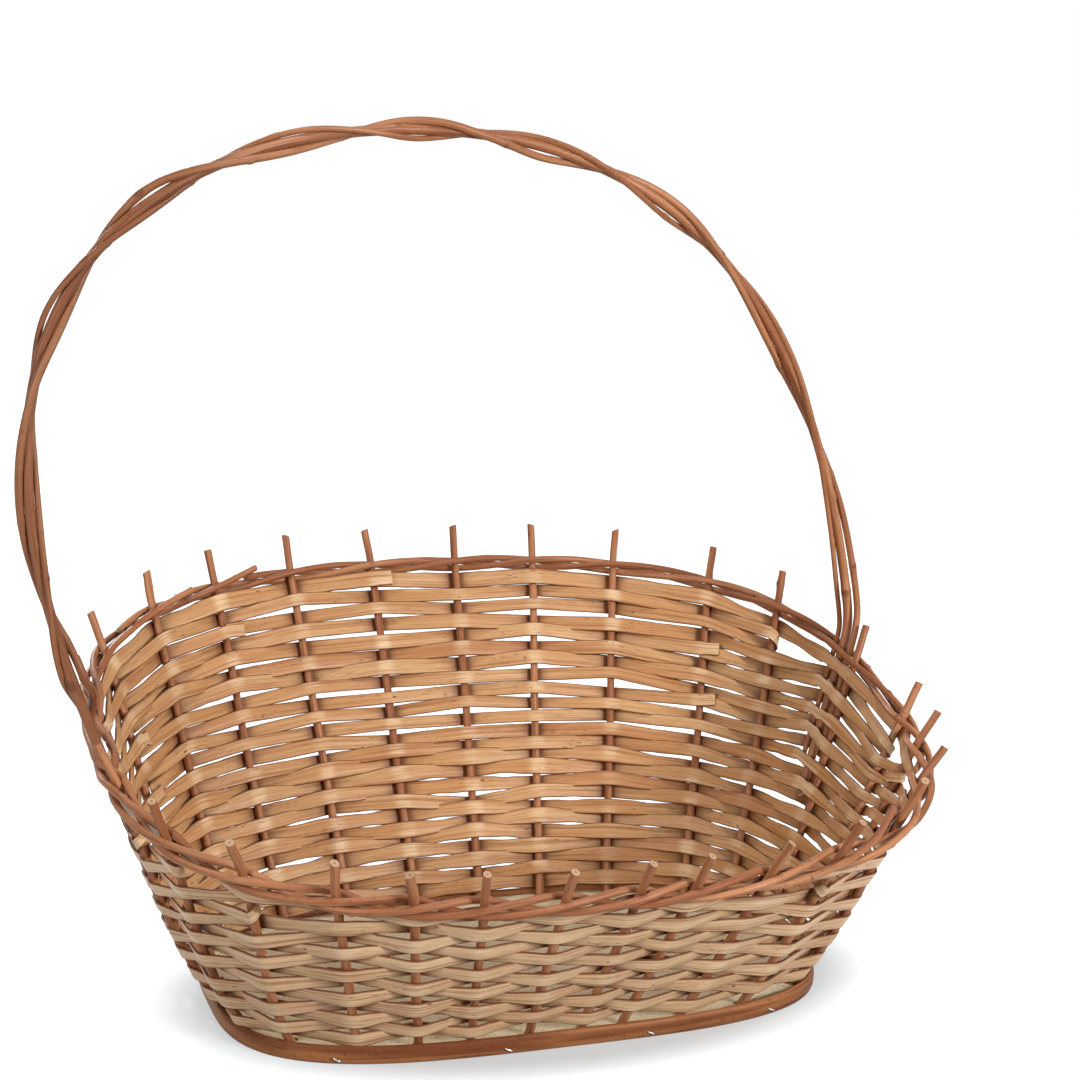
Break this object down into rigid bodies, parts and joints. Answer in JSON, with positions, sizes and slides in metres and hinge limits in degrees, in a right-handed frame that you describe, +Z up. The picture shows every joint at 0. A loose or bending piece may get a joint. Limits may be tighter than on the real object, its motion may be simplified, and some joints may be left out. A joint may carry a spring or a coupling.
{
  "type": "wicker basket",
  "caption": "Oval woven willow basket with flared walls, a rim that slopes down to the front, stake ends left standing above the rim and a fixed twisted bow handle.",
  "frame": {"origin": "middle of the underside of the base board, on the surface that the basket stands on", "axes": "+Z up, +X along the basket's length, +Y towards the high back wall, -Y towards the low front wall"},
  "size_m": [0.4908, 0.3528, 0.4517],
  "materials": {
    "board": "raw fibreboard, speckled",
    "band": "steamed willow with bark, matt",
    "stake": "steamed willow, satin",
    "strip": "split peeled willow, matt",
    "rod": "steamed willow, satin",
    "staple_wire": "bright wire"
  },
  "bodies": {
    "root": {"base_board": "board", "foot_band": "band", "staple_1": "staple_wire", "staple_2": "staple_wire", "staple_3": "staple_wire", "staple_4": "staple_wire", "staple_5": "staple_wire", "staple_6": "staple_wire", "staple_7": "staple_wire", "stake_01": "stake", "stake_02": "stake", "stake_03": "stake", "stake_04": "stake", "stake_05": "stake", "stake_06": "stake", "stake_07": "stake", "stake_08": "stake", "stake_09": "stake", "stake_10": "stake", "stake_11": "stake", "stake_12": "stake", "stake_13": "stake", "stake_14": "stake", "stake_15": "stake", "stake_16": "stake", "stake_17": "stake", "stake_18": "stake", "stake_19": "stake", "stake_20": "stake", "stake_21": "stake", "stake_22": "stake", "stake_23": "stake", "stake_24": "stake", "stake_25": "stake", "stake_26": "stake", "stake_27": "stake", "weave_row_01": "strip", "weave_row_02": "strip", "weave_row_03": "strip", "weave_row_04": "strip", "weave_row_05": "strip", "weave_row_06": "strip", "weave_row_07": "strip", "weave_row_08": "strip", "weave_row_09": "strip", "weave_row_10": "strip", "weave_row_11": "strip", "weave_row_top": "strip", "weave_short_pair_1": "strip", "weave_short_pair_2": "strip", "weave_short_pair_3": "strip", "weave_short_pair_4": "strip", "weave_short_pair_5": "strip", "weave_short_pair_6": "strip", "rim_rod_1": "rod", "rim_rod_2": "rod", "rim_rod_3": "rod", "handle_core": "rod", "handle_wrap_1": "rod", "handle_wrap_2": "rod"}
  },
  "joints": []
}
